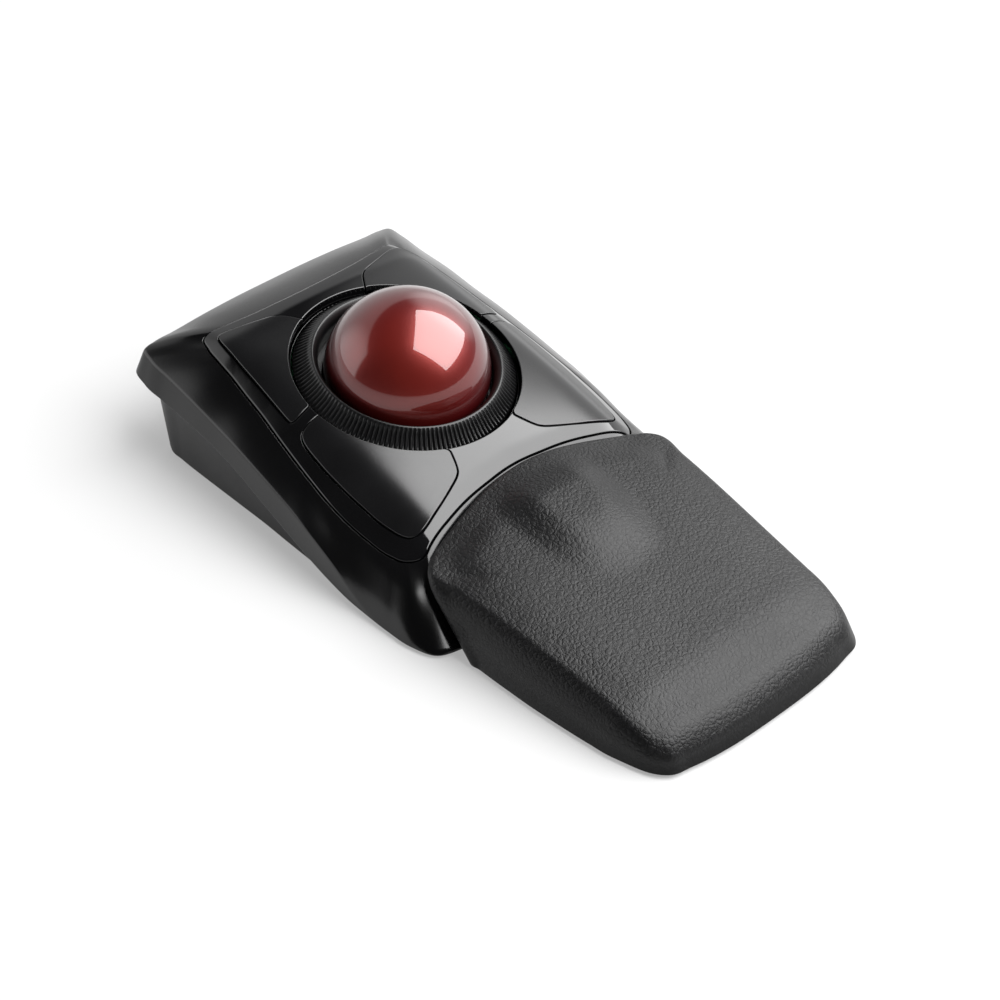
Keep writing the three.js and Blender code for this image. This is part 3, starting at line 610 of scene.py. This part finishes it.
def together(parts):
    verts, faces, n = [], [], 0
    for v, f in parts:
        verts.append(v)
        faces += [tuple(i + n for i in face) for face in f]
        n += len(v)
    return np.vstack(verts), faces


sheet_edge = inset(foot, 3.0)[:, :2]
sheet_edge = resample(sheet_edge, 1.5)
DOOR = {"x": 54.5, "y0": -56.0, "y1": -33.6, "travel": 7.5}
openings = [block(-DOOR["x"] - 0.4, DOOR["x"] + 0.4, DOOR["y0"] - DOOR["travel"] - 0.6,
                  DOOR["y1"] + 0.4, 1.6),
            block(-6, 6, 43.6, 48.4, 0.8), circle(18, 46, 3.4)]
openings += [circle(side * x, y, 2.4, 24) for side in (-1, 1) for x, y in ((34, 50), (50, -22))]
ledge = block(-DOOR["x"] - 2.0, DOOR["x"] + 2.0, DOOR["y0"] - DOOR["travel"] - 2,
              DOOR["y1"] + 2, 1.6)
well = block(-52.6, 52.6, -53.8, -36.2, 1.2)
verts, faces = together([
    (shell.reshape(-1, 3), grid_faces(len(shell), count)),
    plate(sheet_edge, openings, level(BOTTOM_Z), 2.4, 0.35, 3.0, down=True),
    plate(ledge, [well], level(BOTTOM_Z + 1.85), 1.0, 0.3, 3.0, down=True)])
make("LowerHousing", verts, faces, "body", housing_mat, ["lower_housing"])


def grip(x, y):
    z = np.full(len(x), BOTTOM_Z)
    for i in range(4):
        near = np.abs(y - (DOOR["y0"] + 3.45 + 2.2 * i))
        z = z + 0.4 * smooth01((0.75 - near) / 0.35) * smooth01((9.2 - np.abs(x)) / 0.5)
    return z


verts, faces = plate(block(-DOOR["x"], DOOR["x"], DOOR["y0"], DOOR["y1"], 1.4), [], grip, 1.3,
                     0.35, 0.45, down=True)
make("BatteryDoor", verts, faces, "battery_cover", housing_mat, ["battery_door"])

rubber_mat = plastic("FootRubber", (0.010, 0.010, 0.010), 0.85, grain=0.3, grain_mm=0.25, spec=0.3)
for end, x, y, body, stem in [("rear", 46, 42, "body", "foot"), ("front", 44, -70, "body", "foot"),
                              ("rear", 40, -97, "wrist_rest", "rest_foot"),
                              ("front", 34, -148, "wrist_rest", "rest_foot")]:
    for hand, side in (("left", -1), ("right", 1)):
        def dished(px, py, cx=side * x, cy=y):
            return 0.12 * smooth01((3.6 - np.hypot(px - cx, py - cy)) / 0.6)
        verts, faces = plate(circle(side * x, y, 5.0, 64), [], dished, 1.3, 0.4, 0.5, down=True)
        node_name = f"{stem}_{end}_{hand}"
        make(node_name.title().replace("_", ""), verts, faces, body, rubber_mat, [node_name])

slider_mat = plastic("SliderRed", (0.3, 0.02, 0.015), 0.4, grain=0.08, grain_mm=0.3)


def ribbed(x, y):
    return BOTTOM_Z + 0.3 + 0.25 * (0.5 - 0.5 * np.cos((x + 5.4) * 2 * math.pi / 1.2))


verts, faces = plate(block(-5.4, -0.6, 44, 48, 0.7), [], ribbed, 3.4, 0.25, 0.22, down=True)
make("PowerSlider", verts, faces, "power_knob", slider_mat, ["power_slider"])
button_mat = plastic("ButtonGrey", (0.05, 0.05, 0.055), 0.45, grain=0.08, grain_mm=0.3)


def domed(x, y):
    return BOTTOM_Z + 0.6 + 0.35 * smooth01((2.0 - np.hypot(x - 18, y - 46)) / 2)


verts, faces = plate(circle(18, 46, 3.0, 64), [], domed, 4.6, 0.4, 0.35, down=True)
make("ConnectButton", verts, faces, "connect_key", button_mat, ["connect_button"])

# ---- deck panel and keys ------------------------------------------------------------------
turn = np.linspace(0, 2 * math.pi, 260, endpoint=False)
ring_hole = np.stack([RING_HOLE_R * np.cos(turn),
                      RING_HOLE_R * np.sin(turn) / math.cos(TILT) * 0.985 + RING_Y], 1)


def key_outline(corners):
    """Key's plan outline: rounded corners, its inner side following the ring's hole."""
    p = np.array(corners, float)
    a0 = math.atan2(p[-1][1], p[-1][0]) % (2 * math.pi)
    a1 = math.atan2(p[0][1], p[0][0]) % (2 * math.pi)
    arc = [(RING_HOLE_R * math.cos(a), RING_HOLE_R * math.sin(a) / math.cos(TILT) * 0.985 + RING_Y)
           for a in np.linspace(a0, a1, 40)]
    radius = [0.8] + [3.4] * (len(p) - 2) + [0.8]
    rounded = fillet_polygon(np.vstack([p, arc[1:-1]]), radius + [0] * (len(arc) - 2), 5)
    return resample(rounded, 0.6)


half_keys = {"front": key_outline(FRONT_KEY), "rear": key_outline(REAR_KEY)}
openings = [ring_hole]
for name, half in half_keys.items():
    for side, label in ((1, "left"), (-1, "right")):
        outline = half * (side, 1)
        if area_of(outline) < 0:
            outline = outline[::-1]
        openings.append(inset(outline, -0.4))
        verts, faces = plate(outline, [], lambda x, y: deck(x, y) + 0.2, 2.0, 0.22, 1.5)
        make(f"Key_{name}_{label}", verts, faces, f"{name}_{label}_key", key_mat,
             [f"key_{name}_{label}"])
verts, faces = plate(panel_loop, openings, panel_top, 3.2, 0.3, 1.5)
COLLAR = [(37.55, -6.5), (37.55, -2.3), (37.65, -2.0), (37.85, -2.0), (37.95, -2.3),
          (37.95, -6.5)]
collar = np.stack([ring_point(r, turn, w) for r, w in COLLAR])
collar_faces = grid_faces(6, len(turn), wrap_rows=True, start=len(verts), flip=True)
make("DeckPanel", np.vstack([verts, collar.reshape(-1, 3)]), faces + collar_faces, "body",
     deck_mat, ["deck_panel"])

# ---- scroll ring ----------------------------------------------------------------------------
angles = np.linspace(0, 2 * math.pi, RIBS * 8, endpoint=False)
groove = np.clip(0.62 - 0.8 * np.cos(angles * RIBS), 0, 1)
profile = [(36.7, -3.4, 0), (37.0, -1.6, 0.0), (37.0, -0.9, 0.5), (36.75, -0.5, 1.0),
           (35.6, 0.55, 1.0), (34.5, 1.6, 1.0), (33.4, 2.65, 0.95), (32.7, 3.32, 0.7),
           (32.1, 3.9, 0.3), (31.7, 4.25, 0.0), (31.45, 4.42, 0), (31.2, 4.48, 0),
           (30.95, 4.42, 0), (30.7, 4.22, 0), (30.2, 3.7, 0), (29.7, 3.1, 0), (29.35, 2.5, 0),
           (29.1, 1.8, 0), (28.95, 1.0, 0), (28.9, -3.4, 0)]
rows = []
for r, w, depth in profile:
    g = 0.7 * depth * groove
    rows.append(ring_point(r - g * 0.5, angles, w - g * 0.87))
rows = np.stack(rows)
make("ScrollRing", rows.reshape(-1, 3), grid_faces(len(profile), len(angles), flip=True, wrap_rows=True),
     "ring", ring_mat, ["scroll_ring"])

# ---- ball -----------------------------------------------------------------------------------
bpy.ops.mesh.primitive_uv_sphere_add(segments=128, ring_count=64, radius=BALL_R * MM, location=BALL)
ball = bpy.context.object
ball.name = "Ball"
ball.data.materials.append(ball_mat)
ball.data.shade_smooth()
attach(ball, "ball")
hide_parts("ball")

# ---- wrist rest -----------------------------------------------------------------------------
edge_loop = mirror_loop(REST_TOP)
foot_loop = mirror_loop(REST_FOOT)
both = through(np.hstack([edge_loop, foot_loop]), 7, measure=edge_loop[:, :2])
rest_edge, rest_foot = both[:, :3], both[:, 3:5]


def rest_crown(x, y):
    along = np.clip((y + 154) / 103, 0, 1)
    ridge = 15 + 9.3 * np.sin(along * math.pi / 2) + 6 * along * along
    side = np.minimum(np.abs(x) / (45.2 + 8 * along), 1.02)
    fall = (1.2 + 6 * along ** 5) * (x / 52) ** 2 + 2.6 * side ** 7
    front = 0.012 * np.maximum(-138 - y, 0) ** 2
    far = ((np.abs(x) / HUMP["rx"]) ** 2.7
           + (np.maximum(HUMP["y"] - y, 0) / HUMP["ry"]) ** 2.7) ** (1 / 2.7)
    hump = HUMP["height"] * (1 - smooth01((far - 0.52) / 0.9))
    hump = hump * (1 - 0.75 * smooth01((y + 72) / 16))
    return ridge - fall - front + hump


rear_side = smooth01((rest_edge[:, 1] + 75) / 8) * smooth01((50.5 - np.abs(rest_edge[:, 0])) / 6)
roll = 10.0 - 7.5 * rear_side
settled = smooth01((-rest_edge[:, 1] - 62) / 16)
rest_edge[:, 2] += settled * (rest_crown(rest_edge[:, 0], rest_edge[:, 1]) - rest_edge[:, 2])
knee = rest_edge.copy()
knee[:, :2] = inset(rest_edge, -(0.08 * roll))[:, :2]
knee[:, 2] += 0.08 * roll
low = np.column_stack([rest_foot, np.full(len(rest_foot), BOTTOM_Z + 0.3)])
tops = []
mid = np.array([0.0, -100.0])
for k in np.concatenate([np.arange(0.86, 0.1, -0.03), [0.1, 0.07, 0.04, 0.015]]):
    plan = mid + (rest_edge[:, :2] - mid) * k
    blend = np.maximum(smooth01((1 - k) / 0.3), settled)
    z = rest_edge[:, 2] * (1 - blend) + rest_crown(plan[:, 0], plan[:, 1]) * blend
    tops.append(np.column_stack([plan, z]))
rows = [low, knee, *tops]
stack = round_rows(rows, [0, roll] + [0] * len(tops), 10)
foot_round = low.copy()
foot_round[:, :2] = inset(low, 3)[:, :2]
foot_round[:, 2] += 0.1
stack = np.concatenate([foot_round[None], stack])
n_around = len(rest_edge)
verts = np.vstack([stack.reshape(-1, 3), [[0, -100, rest_crown(0.0, -100.0)]]])
faces = grid_faces(len(stack), n_around)
last = (len(stack) - 1) * n_around
faces += [(last + i, last + (i + 1) % n_around, len(verts) - 1) for i in range(n_around)]
cushion = make("RestCushion", verts, faces, "wrist_rest", leather_mat, ["rest_cushion"],
               weighted=False)

tray_mat = plastic("TrayPlastic", (0.012, 0.012, 0.013), 0.5, grain=0.12, grain_mm=0.5)
tray_edge = resample(inset(low, 3.0)[:, :2], 1.5)
tray_parts = [plate(tray_edge, [], level(BOTTOM_Z), 1.8, 0.6, 3.0, down=True)]
for side in (-1, 1):
    x0, x1 = side * 28 - 5, side * 28 + 5
    tray_parts.append(plate(block(x0, x1, -90, -71, 1.0), [], level(5.8), 1.5, 0.3, 1.0))
    tray_parts.append(plate(block(x0, x1, -90, -87, 0.6), [], level(5.2), 4.0, 0.2, 1.0))
    tray_parts.append(plate(block(x0, x1, -72.6, -71, 0.4), [], level(6.3), 1.6, 0.3, 0.5))
verts, faces = together(tray_parts)
make("RestTray", verts, faces, "wrist_rest", tray_mat, ["rest_tray"])

# ---- stage ----------------------------------------------------------------------------------
scene = bpy.context.scene
scene.view_settings.view_transform = "Standard"
scene.view_settings.look = "None"
scene.view_settings.exposure = 0
scene.view_settings.gamma = 1

bpy.ops.mesh.primitive_plane_add(size=8, location=(0, 0, -0.0002))
floor = bpy.context.object
floor.name = "Floor"
floor_mat, nt, bsdf = material("FloorWhite", (0.27, 0.27, 0.27), 0.85)
bsdf.inputs["Emission Color"].default_value = (1, 1, 1, 1)
bsdf.inputs["Emission Strength"].default_value = 0.36
floor.data.materials.append(floor_mat)


def softbox(name, centre, across, up, width, height, radiance, distance=1.0):
    c = Vector(centre).normalized()
    z = c
    x = (Vector(across) - z * Vector(across).dot(z)).normalized()
    y = z.cross(x)
    light = bpy.data.lights.new(name, "AREA")
    light.shape = "RECTANGLE"
    light.size, light.size_y = width * distance, height * distance
    light.energy = radiance * math.pi * light.size * light.size_y
    obj = bpy.data.objects.new(name, light)
    scene.collection.objects.link(obj)
    obj.matrix_world = Matrix.Translation(BALL + c * distance) @ Matrix(
        (x, y, z)).transposed().to_4x4()
    return obj


softbox("Softbox", (0.495, -0.384, 0.781), (0.68, 0.725, -0.075), None, 1.38, 1.18, 8.8, distance=2.0)

world = bpy.data.worlds.new("Studio")
scene.world = world
world.use_nodes = True
nt = world.node_tree
nt.nodes.clear()
out = node(nt, "ShaderNodeOutputWorld")
tc = node(nt, "ShaderNodeTexCoord")
sep = node(nt, "ShaderNodeSeparateXYZ")
nt.links.new(tc.outputs["Generated"], sep.inputs["Vector"])


def glow(direction, inner, outer, level):
    """Soft round glow about a direction: level inside `inner` degrees, nothing past `outer`."""
    d = Vector(direction).normalized()
    dot = node(nt, "ShaderNodeVectorMath", operation="DOT_PRODUCT")
    dot.inputs[1].default_value = d
    nt.links.new(tc.outputs["Generated"], dot.inputs[0])
    m = node(nt, "ShaderNodeMapRange", interpolation_type="SMOOTHSTEP")
    m.inputs["From Min"].default_value = math.cos(math.radians(outer))
    m.inputs["From Max"].default_value = math.cos(math.radians(inner))
    m.inputs["To Min"].default_value = 0
    m.inputs["To Max"].default_value = level
    nt.links.new(dot.outputs["Value"], m.inputs["Value"])
    return m.outputs["Result"]


def add_up(values):
    total = values[0]
    for v in values[1:]:
        a = node(nt, "ShaderNodeMath", operation="ADD")
        nt.links.new(total, a.inputs[0])
        nt.links.new(v, a.inputs[1])
        total = a.outputs["Value"]
    return total


def times(a, b):
    m = node(nt, "ShaderNodeMath", operation="MULTIPLY")
    nt.links.new(a, m.inputs[0])
    nt.links.new(b, m.inputs[1])
    return m.outputs["Value"]


def step(value, start, end, level=1.0):
    m = node(nt, "ShaderNodeMapRange", interpolation_type="SMOOTHSTEP")
    for key, v in (("From Min", start), ("From Max", end), ("To Min", 0), ("To Max", level)):
        m.inputs[key].default_value = v
    nt.links.new(value, m.inputs["Value"])
    return m.outputs["Result"]


def along(direction):
    dot = node(nt, "ShaderNodeVectorMath", operation="DOT_PRODUCT")
    dot.inputs[1].default_value = Vector(direction)
    nt.links.new(tc.outputs["Generated"], dot.inputs[0])
    return dot.outputs["Value"]


# pale wall behind and to the left, brighter toward the left rear, with a soft glow on the right
EVEN_FILL = 0.07
wall_left = step(along((0.46, 0.888, 0)), -0.05, 0.05)
wall_right = step(along((-0.1, 0.99, 0)), -0.08, 0.1)
wall_top = step(along((0.12, -0.69, 0.715)), 0.06, -0.03)
wall = times(times(wall_left, wall_right), wall_top)
card = times(wall, add_up([step(sep.outputs["Z"], -2, -1, 0.92), glow((-0.7, 0.7, 0.05), 15, 45, 1.6)]))
side_glow = glow((0.9, 0.22, 0.42), 14, 34, 2.0)
fill = node(nt, "ShaderNodeMath", operation="ADD")
fill.inputs[1].default_value = EVEN_FILL
nt.links.new(add_up([card, side_glow]), fill.inputs[0])
strength = fill.outputs["Value"]
lit = node(nt, "ShaderNodeBackground")
nt.links.new(strength, lit.inputs["Strength"])
white = node(nt, "ShaderNodeBackground")
white.inputs["Strength"].default_value = 1.0
path = node(nt, "ShaderNodeLightPath")
mix = node(nt, "ShaderNodeMixShader")
nt.links.new(path.outputs["Is Camera Ray"], mix.inputs["Fac"])
nt.links.new(lit.outputs["Background"], mix.inputs[1])
nt.links.new(white.outputs["Background"], mix.inputs[2])
nt.links.new(mix.outputs["Shader"], out.inputs["Surface"])

# ---- camera ---------------------------------------------------------------------------------
FOCAL_MM, SENSOR_MM = 92.9, 36
CAMERA_AT = Vector((-0.4642, -0.44375, 0.5456))
CAMERA_ROLL = math.radians(3.09)
cam_data = bpy.data.cameras.new("Camera")
cam_data.lens = FOCAL_MM
cam_data.sensor_width = SENSOR_MM
cam = bpy.data.objects.new("Camera", cam_data)
scene.collection.objects.link(cam)
back = Vector((-0.5545, -0.5326, 0.6394)).normalized()
right = Vector((0.6927, -0.7212, 0)).normalized()
up = back.cross(right)
rolled_right = right * math.cos(CAMERA_ROLL) + up * math.sin(CAMERA_ROLL)
rolled_up = back.cross(rolled_right)
cam.matrix_world = Matrix.Translation(CAMERA_AT) @ Matrix(
    (rolled_right, rolled_up, back)).transposed().to_4x4()
scene.camera = cam

# ---- CAD nodes that stay --------------------------------------------------------------------
KEPT = {
    "board_green": (0.012, 0.09, 0.035, 0.45, 0.0), "chip_black": (0.012, 0.012, 0.012, 0.4, 0.0),
    "bearing_steel": (0.6, 0.6, 0.62, 0.15, 1.0), "clear_lens": (0.55, 0.6, 0.62, 0.08, 0.0),
    "switch_black": (0.014, 0.014, 0.015, 0.42, 0.0), "switch_can": (0.5, 0.5, 0.5, 0.3, 1.0),
    "cell_wrap": (0.015, 0.1, 0.03, 0.3, 0.0), "contact_plate": (0.62, 0.6, 0.55, 0.25, 1.0),
    "tray_plastic": (0.016, 0.016, 0.017, 0.55, 0.0),
    "screw_steel": (0.55, 0.55, 0.57, 0.32, 1.0), "socket_plastic": (0.008, 0.008, 0.008, 0.45, 0.0),
}
made = {}
part_slot = {}
for sub in frame["record"].get("subparts", []):
    for n in [sub.get("node"), *sub.get("nodes", [])]:
        if n:
            part_slot[n] = sub.get("material_slot") or sub.get("material") or ""
for name, obj in frame["nodes"].items():
    if obj.hide_render:
        continue
    slot = part_slot.get(name, "tray_plastic")
    if slot not in KEPT:
        slot = "tray_plastic"
    if slot not in made:
        r, g, b, rough, metal = KEPT[slot]
        made[slot] = plastic("Kept_" + slot, (r, g, b), rough, grain=0.06, grain_mm=0.3)
        made[slot].node_tree.nodes["Principled BSDF"].inputs["Metallic"].default_value = metal
    for i in range(len(obj.data.materials)):
        obj.data.materials[i] = made[slot]
